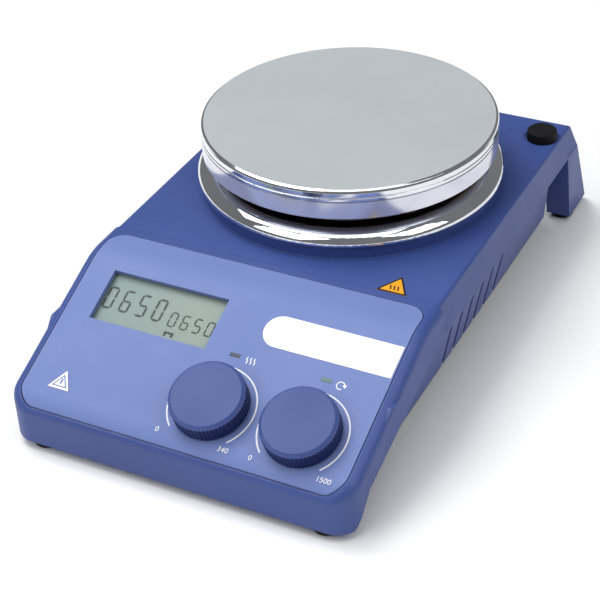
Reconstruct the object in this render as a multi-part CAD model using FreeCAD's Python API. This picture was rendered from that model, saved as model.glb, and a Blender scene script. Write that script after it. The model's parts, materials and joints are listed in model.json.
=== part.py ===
import FreeCAD, Part
import math
import os

# Heated magnetic stirrer. Millimetres. +X right, +Y to the back, +Z up.
# Origin: on the surface it stands on, below the middle of its outline.

V = FreeCAD.Vector

# ---- driving dimensions -------------------------------------------------
FRONT = -140.0           # front face of the housing
BACK = 140.0             # heels of the rear legs
HALF = 80.0              # half the overall width
DECK_Z = 54.2            # deck surface
DECK_DRAFT = 2.5         # how far the side band leans in
DECK_BACK = 116.0        # rear upper edge of the deck
CREASE_DROP = 14.2       # height of the side band
SKIRT_Z = 10.0           # lower edge of the housing's skirt
SKIRT_LEAN = 8.0         # how far the skirt leans in from crease to lower edge
SKIRT_BACK = 100.0       # rear end of the skirt at its lower edge
SKIRT_BACK_TOP = 80.0    # rear end of the skirt at the crease
SKIRT_WALL = 4.6
WALL = 3.0
FRONT_LIP_Z = 4.0        # lower edge of the front face

RAIL_RISE = 0.8          # height of the panel rim above the deck
RAIL_BACK = -47.5        # rear end of the panel rim
BEND_Y = -66.5           # where the panel bends down
SLOPE = 0.42             # fall of the panel per millimetre
BEND_R = 30.0
NOSE_R = 12.0            # round nose below the panel
NOSE_TURN = 55.0         # how far the nose turns down, degrees
CORNER_R = 11.0          # front corners, seen from above
EDGE_R = 5.0             # rolled edge of the rim
RAIL_CHIN = (FRONT + 18.0, 16.5)  # where the rim's lower edge turns down to the front lip

PANEL_INSET = 5.0        # from the housing's side to the panel
PANEL_FRONT = -138.2
PANEL_BACK = -52.0
PANEL_CORNER_R = 8.0
PANEL_T = 2.5            # measured upright
SEAM = 0.4               # gap around the panel
LEDGE = 3.6              # width and depth of the ledge that carries the panel

PLATE_Y = 33.0           # middle of the hot plate and of the drive
PLATE_R = 67.5
PLATE_RIM = 7.5          # width of the rim round the plate's recess
PLATE_H = 14.5           # height of the hot plate with its cap
PLATE_GAP = 12.5         # from the raised ring to the hot plate
CAP_H = 5.4              # height of the plate's cap
GROOVE_DEPTH = 1.0       # black groove between cap and plate
GROOVE_H = 0.6
BOSS_RISE = 5.8          # height of the ring above the deck
BOSS_WALL = 5.0
DRIVE_HOLE_R = 30.0
PAN_OVERHANG = 3.0       # pan past the plate
BOSS_INSET = 1.5         # raised ring in from the pan's edge
PAN_T = 0.8
PAN_SEAT = 1.2           # pan floor above the ring
PAN_RISE = 7.0           # pan crest above the ring
PAN_SHOULDER = 11.0      # from the pan's edge in to its crest
PAN_LIP = 0.4            # upright lip below the shoulder
PILLAR_R = 4.0
GASKET_GAP = 3.0         # between gasket and drive hole
GASKET_PILLAR_GAP = 1.5  # between gasket and pillars

KNOB_R = 16.3
KNOB_H = 8.8
KNOB_GAP = 0.8           # between knob and panel
KNOB_RIBS = 60
KNOB_RIB_DEPTH = 0.35
KNOB_DOWN = 57.0         # knob centres, down the panel from the bend
KNOB_XS = (9.0, 50.0)
SHAFT_R = 3.0
FIT = 0.03               # radial clearance of a running fit
CLEAR = 0.2              # clearance of a part that is set in an opening

WINDOW = (-62.3, -6.0, 8.2, 33.3)      # display window: left, right, upper, lower
LAMP_XS = (8.1, 49.7)
LAMP_DOWN = 32.4
LAMP_W = 4.6
LAMP_H = 1.7
BOARD_DEPTH = 13.0       # underside of the display board below the panel face
BOARD_T = 1.6
BOARD_HALF = 66.0

ROD_HOLE_INSET = 8.5     # from the deck's side edge
ROD_HOLE_Y = 100.3
PLUG_R = 7.25
PLUG_RISE = 4.4
INSERT_R = 6.0
THREAD_R = 4.25          # bore of an M10 thread
INSERT_DEPTH = 16.0

FOOT_R = 5.6
FRONT_FOOT_INSET = 14.3  # from the housing's side
FRONT_FOOT_Y = -132.8
REAR_FOOT_Y = 122.4
FOOT_SCREW = 7.0         # how deep a foot's screw goes into the housing
LEG_W = 12.0
LEG_FOOT_Z = 2.5
LEG_FRONT = 108.5        # front of the leg at the crease
LEG_TOE = 116.4          # front of the leg at its foot

MOTOR_R = 24.0
MOTOR_H = 28.0
MOTOR_DROP = 12.0        # top of the motor below the ring's top
BRACKET_T = 2.0
BEARING_R = 8.0
BEARING_H = 3.0

COVER_T = 2.0
COVER_BOSS_R = 4.0
COVER_BOSS_H = 7.0
REAR_WALL = 112.0        # outer face of the recessed rear wall
REAR_WALL_T = 5.0
REAR_HALF = 60.0
REAR_PLATE_T = 2.0
REAR_PLATE = (-55.5, 55.5, 12.5, 48.5)  # left, right, lower, upper
POWER_BOARD_Z = 13.0
INLET = (-28.0, 30.5)    # middles of the rear fittings, x and z
ROCKER = (4.0, 30.5)
SENSOR_SOCKET = (31.0, 36.6)
DATA_PORT = (30.0, 20.0)
ROCKER_TIP = 18.0        # degrees from off to on

STICKER_T = 0.2
STRIP = (14.6, 9.3, 24.4)               # blank strip: left end, upper and lower edge on the panel
PANEL_MARK = (-58.5, 60.0, 8.8, 5.0)    # triangle: middle, apex, height, half width
DECK_MARK = (55.5, 12.2, 6.9, 1.4)      # triangle: middle, height, half width, gap behind the rim

LOUVRES = 6
LOUVRE_PITCH = 12.0
LOUVRE_FIRST = -39.0     # y of the first groove's upper end
LOUVRE_W = 2.6
LOUVRE_DEPTH = 3.0
LOUVRE_TOP = 37.0
LOUVRE_LEAN = 16.0       # degrees, lower ends further back

# ---- worked out from them -----------------------------------------------
DECK_HALF = HALF - DECK_DRAFT
PANEL_HALF = HALF - PANEL_INSET
ROD_HOLE = (DECK_HALF - ROD_HOLE_INSET, ROD_HOLE_Y)
FRONT_FOOT = (HALF - FRONT_FOOT_INSET, FRONT_FOOT_Y)
REAR_FOOT = (HALF - LEG_W / 2, REAR_FOOT_Y)
PAN_R = PLATE_R + PAN_OVERHANG
BOSS_R = PAN_R - BOSS_INSET
RECESS_R = PLATE_R - PLATE_RIM
PILLAR_RING = (DRIVE_HOLE_R + RECESS_R) / 2
CREASE_Z = DECK_Z - CREASE_DROP
RAIL_TOP = DECK_Z + RAIL_RISE
BOSS_TOP = DECK_Z + BOSS_RISE
PAN_FLOOR = BOSS_TOP + PAN_SEAT
PAN_CREST = BOSS_TOP + PAN_RISE
PLATE_BOTTOM = BOSS_TOP + PLATE_GAP
PLATE_TOP = PLATE_BOTTOM + PLATE_H
MOTOR_TOP = BOSS_TOP - MOTOR_DROP
MOTOR_BOTTOM = MOTOR_TOP - MOTOR_H
TILT = math.atan(SLOPE)
HEEL_SLOPE = (BACK - DECK_BACK) / (DECK_Z - LEG_FOOT_Z)
PANEL_NORMAL_T = PANEL_T * math.cos(TILT)
CEILING = BOSS_TOP - WALL


# ---- small builders ------------------------------------------------------
def box(x0, x1, y0, y1, z0, z1):
    return Part.makeBox(x1 - x0, y1 - y0, z1 - z0, V(x0, y0, z0))


def cyl(r, x, y, z0, z1):
    return Part.makeCylinder(r, z1 - z0, V(x, y, z0))


def ring(r_in, r_out, x, y, z0, z1):
    return cyl(r_out, x, y, z0, z1).cut(cyl(r_in, x, y, z0, z1))


def rod_y(r, x, z, y0, y1):
    return Part.makeCylinder(r, y1 - y0, V(x, y0, z), V(0, 1, 0))


def prism(points, direction):
    wire = Part.makePolygon(points + [points[0]])
    return Part.Face(wire).extrude(direction)


def prism_yz(points, x0, x1):
    return prism([V(x0, y, z) for y, z in points], V(x1 - x0, 0, 0))


def prism_xz(points, y0, y1):
    return prism([V(x, y0, z) for x, z in points], V(0, y1 - y0, 0))


def turned(points, x, y):
    """A solid of revolution about an upright axis from (radius, height) points."""
    wire = Part.makePolygon([V(r, 0, z) for r, z in points + [points[0]]])
    solid = Part.Face(wire).revolve(V(0, 0, 0), V(0, 0, 1), 360)
    solid.translate(V(x, y, 0))
    return solid


def rounded_plan(x0, x1, y0, y1, r_front, r_back, z0, z1):
    """An upright prism on a rectangle with rounded corners."""
    solid = box(x0, x1, y0, y1, z0, z1)
    for radius, edge_y in ((r_front, y0), (r_back, y1)):
        if radius > 0:
            edges = [e for e in solid.Edges
                     if abs(e.CenterOfMass.y - edge_y) < 0.01 and is_upright(e)]
            solid = solid.makeFillet(radius, edges)
    return solid


def is_upright(edge):
    first, last = edge.Vertexes[0].Point, edge.Vertexes[-1].Point
    return abs(first.x - last.x) < 1e-4 and abs(first.y - last.y) < 1e-4


def mirrored(shape):
    return shape.mirror(V(0, 0, 0), V(1, 0, 0))


def both_sides(shape):
    return [shape, mirrored(shape)]


def fuse(shapes):
    return shapes[0].multiFuse(shapes[1:]).removeSplitter()


def cut(shape, tools):
    return shape.cut(Part.makeCompound(tools)) if tools else shape


def around(radius, degrees, x=0.0, y=PLATE_Y):
    return (x + radius * math.cos(math.radians(degrees)),
            y + radius * math.sin(math.radians(degrees)))


def on_panel(shape):
    """Moves a shape from the panel's own frame to its place.

    In that frame the origin is the bend, -Y runs down the panel, +Z leaves it.
    """
    shape = shape.copy()
    shape.rotate(V(0, 0, 0), V(1, 0, 0), math.degrees(TILT))
    shape.translate(V(0, BEND_Y, RAIL_TOP))
    return shape


def panel_box(x0, x1, down0, down1, n0, n1):
    return on_panel(box(x0, x1, -down1, -down0, n0, n1))


def panel_cyl(r, x, down, n0, n1):
    return on_panel(cyl(r, x, -down, n0, n1))


def skirt_half(z):
    return HALF - SKIRT_LEAN * (CREASE_Z - z) / (CREASE_Z - SKIRT_Z)


def heel(z):
    """Rear outline of the deck and legs at a height."""
    return DECK_BACK + HEEL_SLOPE * (DECK_Z - z)


def screw(head_r, head_h, shank_r, length, place, direction):
    """A pan-head screw: its head's underside is at place, its shank runs along direction."""
    back = V(-direction.x, -direction.y, -direction.z)
    head = Part.makeCylinder(head_r, head_h, place, back)
    recess = Part.makeCylinder(head_r * 0.45, head_h * 0.6, place + back * head_h, direction)
    shank = Part.makeCylinder(shank_r, length, place, direction)
    return head.cut(recess).fuse(shank).removeSplitter()


def write(name, shapes):
    shape = shapes if isinstance(shapes, Part.Shape) else Part.makeCompound(shapes)
    shape.exportStep(os.path.join("parts", name + ".step"))


# ---- housing -------------------------------------------------------------
def nose_points():
    """Start, middle and end of the nose arc, and where its tangent meets the front face."""
    centre_y = FRONT + NOSE_R
    centre_z = RAIL_TOP - SLOPE * (BEND_Y - centre_y) - NOSE_R / math.cos(TILT)
    last = math.radians(NOSE_TURN)

    def at(angle):
        return (centre_y - NOSE_R * math.sin(angle), centre_z + NOSE_R * math.cos(angle))

    end_y, end_z = at(last)
    corner = (FRONT, end_z - (end_y - FRONT) * math.tan(last))
    return at(TILT), at((TILT + last) / 2), (end_y, end_z), corner


def rail_top_edges(x):
    """Edges of the rim's upper outline from its rear end to the front face."""
    length = BEND_R * math.tan(TILT / 2)
    bend_start = (BEND_Y + length, RAIL_TOP)
    bend_middle = (BEND_Y + length - BEND_R * math.sin(TILT / 2),
                   RAIL_TOP - BEND_R * (1 - math.cos(TILT / 2)))
    bend_end = (BEND_Y - length * math.cos(TILT), RAIL_TOP - length * math.sin(TILT))
    nose_start, nose_middle, nose_end, corner = nose_points()

    def at(point):
        return V(x, point[0], point[1])

    rear = (RAIL_BACK, RAIL_TOP)
    return [Part.makeLine(at(rear), at(bend_start)),
            Part.Arc(at(bend_start), at(bend_middle), at(bend_end)).toShape(),
            Part.makeLine(at(bend_end), at(nose_start)),
            Part.Arc(at(nose_start), at(nose_middle), at(nose_end)).toShape(),
            Part.makeLine(at(nose_end), at(corner))], at(rear), at(corner)


def rail_block():
    """The wedge-shaped front of the housing, solid, with its rolled edge."""
    edges, rear, corner = rail_top_edges(-HALF)
    lower = [(FRONT, FRONT_LIP_Z), (FRONT + 6, FRONT_LIP_Z), RAIL_CHIN, (RAIL_BACK, CREASE_Z)]
    path = [corner] + [V(-HALF, y, z) for y, z in lower] + [rear]
    edges = edges + [Part.makeLine(a, b) for a, b in zip(path, path[1:]) if (a - b).Length > 1e-6]
    face = Part.Face(Part.Wire(Part.__sortEdges__(edges)))
    block = face.extrude(V(2 * HALF, 0, 0))
    block = block.common(rounded_plan(-HALF, HALF, FRONT, RAIL_BACK, CORNER_R, 0, 0, 90))
    return block.makeFillet(EDGE_R, [e for e in block.Edges if is_rolled(e, corner.z)])


def is_rolled(edge, corner_z):
    """True for the upper edges of the rim's two sides, front corners and front."""
    middle = edge.valueAt((edge.FirstParameter + edge.LastParameter) / 2)
    if is_upright(edge) or middle.y > RAIL_BACK - 0.1:
        return False
    at_front = abs(middle.y - FRONT) < 0.01 and abs(middle.z - corner_z) < 0.01
    chin_y, chin_z = RAIL_CHIN
    lower = chin_z + (CREASE_Z - chin_z) * (middle.y - chin_y) / (RAIL_BACK - chin_y)
    return at_front or (abs(middle.x) > HALF - CORNER_R - 0.5 and middle.z > lower + EDGE_R)


def deck_block():
    """The flat rear of the housing with its drafted side bands, solid."""
    front = BEND_Y
    body = prism_xz([(-HALF, CREASE_Z), (HALF, CREASE_Z), (DECK_HALF, DECK_Z),
                     (-DECK_HALF, DECK_Z)], front, BACK)
    body = body.common(prism_yz([(front, CREASE_Z), (heel(CREASE_Z), CREASE_Z),
                                 (DECK_BACK, DECK_Z), (front, DECK_Z)], -HALF, HALF))
    top = [e for e in body.Edges if abs(e.CenterOfMass.z - DECK_Z) < 0.01
           and e.CenterOfMass.y > front + 1]
    return body.makeFillet(1.6, top)


def skirt_block():
    """The lower body: leaning sides, a narrower rear, louvre grooves."""
    sides = prism_xz([(-HALF, CREASE_Z), (-skirt_half(SKIRT_Z), SKIRT_Z),
                      (skirt_half(SKIRT_Z), SKIRT_Z), (HALF, CREASE_Z)], FRONT, BACK)
    sides = sides.common(prism_yz([(FRONT + 4, SKIRT_Z), (SKIRT_BACK, SKIRT_Z),
                                   (SKIRT_BACK_TOP, CREASE_Z), (FRONT + 40, CREASE_Z),
                                   (FRONT + 4, 16)], -HALF, HALF))
    rear = box(-REAR_HALF, REAR_HALF, SKIRT_BACK_TOP - 20, REAR_WALL, SKIRT_Z, DECK_Z - 1)
    return cut(fuse([sides, rear]), louvre_grooves())


def louvre_grooves():
    top, low = LOUVRE_TOP, SKIRT_Z - 3
    half_top, half_low = skirt_half(top), skirt_half(low)
    outline = [(half_top + 1, top + 1.5), (half_top - LOUVRE_DEPTH, top - 1.5),
               (half_low - LOUVRE_DEPTH, low), (half_low + 3, low)]
    grooves = []
    for i in range(LOUVRES):
        y = LOUVRE_FIRST + i * LOUVRE_PITCH
        groove = prism_xz(outline, y, y + LOUVRE_W)
        groove.rotate(V(0, y, top), V(1, 0, 0), LOUVRE_LEAN)
        grooves += both_sides(groove)
    return grooves


def legs():
    outline = [(LEG_FRONT, CREASE_Z), (LEG_TOE, LEG_FOOT_Z), (heel(LEG_FOOT_Z), LEG_FOOT_Z),
               (heel(CREASE_Z + 1), CREASE_Z + 1), (LEG_FRONT, CREASE_Z + 1)]
    return both_sides(prism_yz(outline, HALF - LEG_W, HALF))


def panel_plan(grow, z0=0.0, z1=90.0):
    """The upright prism on the panel's outline, grown or shrunk by a distance."""
    return rounded_plan(-PANEL_HALF - grow, PANEL_HALF + grow, PANEL_FRONT - grow,
                        PANEL_BACK + grow, PANEL_CORNER_R + grow, PANEL_CORNER_R + grow, z0, z1)


def lowered(shape, drop):
    shape = shape.copy()
    shape.translate(V(0, 0, -drop))
    return shape


def cavity():
    """The hollow inside the housing."""
    low = skirt_half(SKIRT_Z) - SKIRT_WALL
    high = HALF - SKIRT_WALL
    floor = SKIRT_Z - COVER_T - 0.5
    wide = prism_xz([(-high, CREASE_Z), (-low, SKIRT_Z), (-low, floor), (low, floor),
                     (low, SKIRT_Z), (high, CREASE_Z)], FRONT + 6, BACK)
    wide = wide.common(prism_yz([(FRONT + 6, floor), (SKIRT_BACK - WALL, floor),
                                 (SKIRT_BACK_TOP - WALL, CREASE_Z), (FRONT + 6, CREASE_Z)],
                                -HALF, HALF))
    back = REAR_WALL - REAR_WALL_T
    narrow = box(-REAR_HALF + WALL, REAR_HALF - WALL, 50, back, floor, CREASE_Z + 1)
    upper = box(-DECK_HALF + WALL, DECK_HALF - WALL, FRONT + 20, back, CREASE_Z - 0.5,
                DECK_Z - WALL)
    drop = PANEL_T + LEDGE
    edges, rear, corner = rail_top_edges(-HALF)
    last = V(-HALF, BACK, RAIL_TOP)
    low_back = V(-HALF, BACK, 0)
    low_front = V(-HALF, FRONT, 0)
    edges = edges + [Part.makeLine(rear, last), Part.makeLine(last, low_back),
                     Part.makeLine(low_back, low_front), Part.makeLine(low_front, corner)]
    under = Part.Face(Part.Wire(Part.__sortEdges__(edges))).extrude(V(2 * HALF, 0, 0))
    below_deck = box(-HALF, HALF, RAIL_BACK, BACK, 0, DECK_Z - WALL)
    hollow = fuse([wide, narrow, upper]).common(fuse([lowered(under, drop), below_deck]))
    boss_room = cyl(BOSS_R - BOSS_WALL, 0, PLATE_Y, DECK_Z - WALL - 0.5, CEILING)
    return hollow.fuse(boss_room)


def cover_screw_places():
    """Screw bosses grow from the housing's side walls, so they stand just inside them."""
    side = skirt_half(SKIRT_Z) - SKIRT_WALL - COVER_BOSS_R + 1.5
    rear = REAR_HALF - WALL - COVER_BOSS_R + 0.6
    return [(sign * x, y) for x, y in ((side, FRONT + 22.0), (side, -5.0), (rear, 99.0))
            for sign in (-1, 1)]


def pillar_places():
    return [around(PILLAR_RING, a) for a in (90, 210, 330)]


def bracket_places():
    return [around(42.0, a) for a in (30, 150, 270)]


def rear_screw_places():
    left, right, low, high = REAR_PLATE
    inset = 4.0
    return [(x, z) for x in (left + inset, right - inset) for z in (low + inset, high - inset)]


def housing(rail):
    outer = fuse([rail, deck_block(), skirt_block()] + legs())
    boss = cyl(BOSS_R, 0, PLATE_Y, DECK_Z - 1, BOSS_TOP)
    boss = boss.makeFillet(1.2, [e for e in boss.Edges if abs(e.CenterOfMass.z - BOSS_TOP) < 0.01
                                 and len(e.Vertexes) == 1])
    pad = cyl(FOOT_R + 2.4, FRONT_FOOT[0], FRONT_FOOT[1], FRONT_LIP_Z, FRONT_LIP_Z + 10)
    pad = pad.common(rounded_plan(-HALF, HALF, FRONT, RAIL_BACK, CORNER_R, 0, 0, 90))
    outer = fuse([outer, boss] + both_sides(pad))
    pocket = rail.common(panel_plan(SEAM)).cut(lowered(rail, PANEL_T))
    opening = lowered(rail, PANEL_T).cut(lowered(rail, PANEL_T + LEDGE + 1))
    opening = opening.common(panel_plan(-LEDGE))
    body = outer.cut(cavity()).cut(pocket).cut(opening)
    keep = [cyl(COVER_BOSS_R, x, y, SKIRT_Z, SKIRT_Z + COVER_BOSS_H)
            for x, y in cover_screw_places()]
    keep.append(cyl(INSERT_R + 2.0, ROD_HOLE[0], ROD_HOLE[1], DECK_Z - INSERT_DEPTH - 2, DECK_Z - 1)
                .common(outer))
    keep += both_sides(pad.cut(box(-HALF, HALF, FRONT, 0, 0, FRONT_LIP_Z)))
    body = fuse([body] + keep)
    return cut(body, housing_holes())


def housing_holes():
    left, right, low, high = REAR_PLATE
    back = REAR_WALL
    tools = [cyl(DRIVE_HOLE_R, 0, PLATE_Y, CEILING - 1, BOSS_TOP + 1)]
    tools += [cyl(2.2, x, y, CEILING - 1, BOSS_TOP + 1) for x, y in pillar_places()]
    tools += [cyl(1.95, x, y, CEILING - 1, BOSS_TOP - 0.6) for x, y in bracket_places()]
    tools += [cyl(1.35, x, y, SKIRT_Z - 1, SKIRT_Z + COVER_BOSS_H - 1)
              for x, y in cover_screw_places()]
    tools += [rod_y(1.25, x, z, back - REAR_WALL_T - 1, back) for x, z in rear_screw_places()]
    tools.append(box(left - CLEAR, right + CLEAR, back - REAR_PLATE_T, heel(0), low - CLEAR,
                     high + CLEAR))
    tools.append(box(left + 8.5, right - 8.5, back - REAR_WALL_T - 1, back, low + 2.5, high - 2.0))
    tools.append(cyl(INSERT_R, *ROD_HOLE, DECK_Z - INSERT_DEPTH, DECK_Z + 1))
    tools.append(cyl(PLUG_R + 1.0, *ROD_HOLE, DECK_Z - 0.6, DECK_Z + 1))
    tools.append(cyl(THREAD_R, *ROD_HOLE, 20, DECK_Z))
    tools += [cyl(1.25, x, y, z - 1, z + FOOT_SCREW + 0.8) for x, y, z in foot_places()]
    return tools


def foot_places():
    """Middle of each foot's upper face."""
    return [(sign * x, y, z) for (x, y), z in ((FRONT_FOOT, FRONT_LIP_Z), (REAR_FOOT, LEG_FOOT_Z))
            for sign in (-1, 1)]


def bottom_cover():
    gap = 0.8
    half = skirt_half(SKIRT_Z) - gap
    z0, z1 = SKIRT_Z - COVER_T, SKIRT_Z
    front = FRONT + 6 + 2 * FOOT_R
    plate = fuse([rounded_plan(-half, half, front, SKIRT_BACK - gap, 4, 4, z0, z1),
                  box(-REAR_HALF + gap, REAR_HALF - gap, 0, REAR_WALL - gap, z0, z1),
                  box(-50, 50, FRONT + 6.4, front + 5, z0, z1)])
    tools = [cyl(1.7, x, y, z0 - 1, z1 + 1) for x, y in cover_screw_places()]
    slots, pitch = 9, 9.0
    for side in (-1, 1):
        for i in range(slots):
            y = -78 + i * pitch
            x = side * 34
            tools.append(box(x - 17, x + 17, y, y + 3.2, z0 - 1, z1 + 1))
    tools += [cyl(1.3, x, y, z0 - 1, z1 + 1) for x, y in board_post_places()]
    return cut(plate, tools)


# ---- control panel -------------------------------------------------------
def control_panel(rail):
    left, right, upper, lower = WINDOW
    panel = rail.common(panel_plan(0)).cut(lowered(rail, PANEL_T))
    tools = [panel_box(left, right, upper, lower, -9, 9)]
    for x in KNOB_XS:
        tools.append(panel_cyl(SHAFT_R + 1.2, x, KNOB_DOWN, -9, 9))
    for x in LAMP_XS:
        tools.append(panel_box(x - LAMP_W / 2 - 0.1, x + LAMP_W / 2 + 0.1, LAMP_DOWN - LAMP_H / 2 - 0.1,
                               LAMP_DOWN + LAMP_H / 2 + 0.1, -9, 9))
    return cut(panel, tools)


def knob(x):
    """A turned cap with fine straight ribs, a chamfered face and a hub."""
    low, high = KNOB_GAP, KNOB_GAP + KNOB_H
    points = []
    for i in range(KNOB_RIBS * 2):
        radius = KNOB_R - (KNOB_RIB_DEPTH if i % 2 else 0)
        angle = math.pi * i / KNOB_RIBS
        points.append(V(radius * math.cos(angle), radius * math.sin(angle), low))
    ribbed = prism(points, V(0, 0, KNOB_H))
    face = turned([(0, low), (KNOB_R + 1, low), (KNOB_R + 1, high - 2.2), (KNOB_R - 0.5, high - 1.3),
                   (KNOB_R - 1.6, high), (0, high)], 0, 0)
    body = ribbed.common(face)
    body = body.cut(ring(5.5, KNOB_R - 2.2, 0, 0, low, high - 2.5))
    body = body.cut(cyl(SHAFT_R, 0, 0, low, high - 1.5))
    body.translate(V(x, -KNOB_DOWN, 0))
    return on_panel(body)


def rotary_control(x):
    """The body of one rotary control, with the bushing that its shaft turns in."""
    seat = -BOARD_DEPTH + BOARD_T
    body = fuse([box(x - 7, x + 7, -KNOB_DOWN - 7, -KNOB_DOWN + 7, seat, seat + 6.5),
                 cyl(SHAFT_R + 1.0, x, -KNOB_DOWN, seat + 6.5, -0.6)])
    return on_panel(body.cut(cyl(SHAFT_R + FIT, x, -KNOB_DOWN, seat + 1.0, 0)))


def control_shaft(x):
    seat = -BOARD_DEPTH + BOARD_T
    return panel_cyl(SHAFT_R, x, KNOB_DOWN, seat + 1.2, KNOB_GAP + KNOB_H - 1.5)


def display_board():
    board = box(-BOARD_HALF, BOARD_HALF, -68, -4, -BOARD_DEPTH, -BOARD_DEPTH + BOARD_T)
    posts = [cyl(2.5, x, -y, -BOARD_DEPTH + BOARD_T, -PANEL_NORMAL_T)
             for x, y in ((-59.0, 42.0), (-59.0, 64.0), (63.0, 36.0), (63.0, 16.0), (0.0, 12.0))]
    return on_panel(board), [on_panel(p) for p in posts]


def display_parts():
    left, right, upper, lower = WINDOW
    under = -PANEL_NORMAL_T - 0.02
    lens = box(left - 1.5, right + 1.5, -lower - 1.5, -upper + 1.5, under - 1.2, under)
    seat = -BOARD_DEPTH + BOARD_T
    glass = box(left - 1.5, right + 1.5, -lower - 1.5, -upper + 1.5, under - 4.0, under - 1.2)
    frame = box(left - 2.5, right + 2.5, -lower - 2.5, -upper + 2.5, seat, under - 4.0)
    return on_panel(lens), on_panel(glass.fuse(frame).removeSplitter())


def light_pipes():
    pipes, lamps = [], []
    seat = -BOARD_DEPTH + BOARD_T
    for x in LAMP_XS:
        pipes.append(panel_box(x - LAMP_W / 2, x + LAMP_W / 2, LAMP_DOWN - LAMP_H / 2,
                               LAMP_DOWN + LAMP_H / 2, seat + 2.2, 0.15))
        lamps.append(panel_box(x - 1.5, x + 1.5, LAMP_DOWN - 1, LAMP_DOWN + 1, seat, seat + 1.8))
    return pipes, lamps


def labels():
    """Plain stickers: a blank strip, a triangle on the panel and one on the deck."""
    left, upper, lower = STRIP
    radius = (lower - upper) / 2
    strip = box(left + radius, PANEL_HALF - 0.6, -lower, -upper, 0, STICKER_T)
    strip = strip.fuse(cyl(radius, left + radius, -upper - radius, 0, STICKER_T)).removeSplitter()
    up = V(0, 0, STICKER_T)
    x, apex, height, half = PANEL_MARK
    small = prism([V(x - half, -apex - height, 0), V(x + half, -apex - height, 0), V(x, -apex, 0)], up)
    x, height, half, gap = DECK_MARK
    y = RAIL_BACK + gap
    large = prism([V(x - half, y, DECK_Z), V(x + half, y, DECK_Z), V(x, y + height, DECK_Z)], up)
    return on_panel(strip), on_panel(small), large


# ---- hot plate -----------------------------------------------------------
def plate_cap():
    r, z = PLATE_R, PLATE_TOP
    low = z - CAP_H
    points = [(0, low), (r, low), (r, z - 4.1), (r - 0.35, z - 3.9), (r - 0.35, z - 3.6),
              (r, z - 3.4), (r, z - 1.4), (r - 0.45, z - 0.45), (r - 1.4, z), (0, z)]
    return turned(points, 0, PLATE_Y)


def heater_plate():
    r, low, high = PLATE_R, PLATE_BOTTOM, PLATE_TOP - CAP_H
    points = [(0, low + 5), (RECESS_R, low + 5), (RECESS_R, low), (r - 0.8, low), (r, low + 0.8),
              (r, high - GROOVE_H), (r - GROOVE_DEPTH, high - GROOVE_H), (r - GROOVE_DEPTH, high),
              (0, high)]
    body = turned(points, 0, PLATE_Y)
    tools = [cyl(2.55, x, y, low, low + 7.5) for x, y in pillar_places()]
    tools.append(cyl(2.05, *sensor_place(), low, low + 8))
    return cut(body, tools)


def sensor_place():
    return around(RECESS_R - 10.0, 30)


def plate_stack():
    """Heating element, insulation and bottom shield, in the plate's recess."""
    z = PLATE_BOTTOM + 5
    holes = [cyl(PILLAR_R + 0.5, x, y, PLATE_BOTTOM - 1, z + 1) for x, y in pillar_places()]
    holes.append(cyl(2.3, *sensor_place(), PLATE_BOTTOM - 1, z + 1))
    element = ring(22, RECESS_R - 2.0, 0, PLATE_Y, z - 1.2, z)
    insulation = ring(18, RECESS_R - 1.0, 0, PLATE_Y, PLATE_BOTTOM + 1.0, z - 1.2)
    shield = cyl(RECESS_R - 0.3, 0, PLATE_Y, PLATE_BOTTOM + 0.2, PLATE_BOTTOM + 1.0)
    return [cut(part, holes) for part in (element, insulation, shield)]


def pan_skin(inset):
    """The pan's section from its edge over the rounded shoulder and down to its floor."""
    middle, rise = PAN_R - PAN_SHOULDER, PAN_CREST - PAN_FLOOR
    points = []
    for i in range(6):
        a = math.radians(18 * i)
        points.append(V(middle + (PAN_SHOULDER - inset) * math.cos(a), 0,
                        PAN_FLOOR + (rise - inset) * math.sin(a)))
    points += [V(middle - 2.4, 0, PAN_CREST - 0.5 - inset), V(middle - 5.0, 0, PAN_FLOOR + 0.9 - inset)]
    skin = Part.BSplineCurve()
    skin.interpolate(points)
    return skin, points[0], points[-1]


def pan():
    """The chrome heat shield: lip, shoulder, crest, floor and a collar round the drive."""
    upper, edge, foot_high = pan_skin(0)
    lower, inner_edge, foot_low = pan_skin(PAN_T)
    high, low = PAN_FLOOR + 0.2, PAN_FLOOR + 0.2 - PAN_T
    collar = DRIVE_HOLE_R + 1.0
    lip = V(0, 0, -PAN_LIP)
    floor = [foot_high, V(foot_high.x - 1.2, 0, high), V(collar + PAN_T, 0, high),
             V(collar + PAN_T, 0, high + 2.0), V(collar, 0, high + 2.0), V(collar, 0, low),
             V(foot_low.x - 1.3, 0, low), foot_low]
    rim = [edge, edge + lip, inner_edge + lip, inner_edge]
    edges = [upper.toShape(), lower.toShape()]
    edges += [Part.makeLine(a, b) for line in (floor, rim) for a, b in zip(line, line[1:])]
    face = Part.Face(Part.Wire(Part.__sortEdges__(edges)))
    body = face.revolve(V(0, 0, 0), V(0, 0, 1), 360)
    body.translate(V(0, PLATE_Y, 0))
    return cut(body, [cyl(PILLAR_R + 0.3, x, y, BOSS_TOP, PLATE_TOP) for x, y in pillar_places()])


def pillars():
    posts, screws = [], []
    for x, y in pillar_places():
        post = fuse([cyl(PILLAR_R, x, y, BOSS_TOP, PLATE_BOTTOM + 5), cyl(2.5, x, y, BOSS_TOP,
                                                                        PLATE_BOTTOM + 7)])
        posts.append(post.cut(cyl(2.0, x, y, BOSS_TOP, BOSS_TOP + 8)))
        screws.append(screw(3.4, 2.2, 1.95, 9.5, V(x, y, CEILING), V(0, 0, 1)))
    return posts, screws


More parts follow.
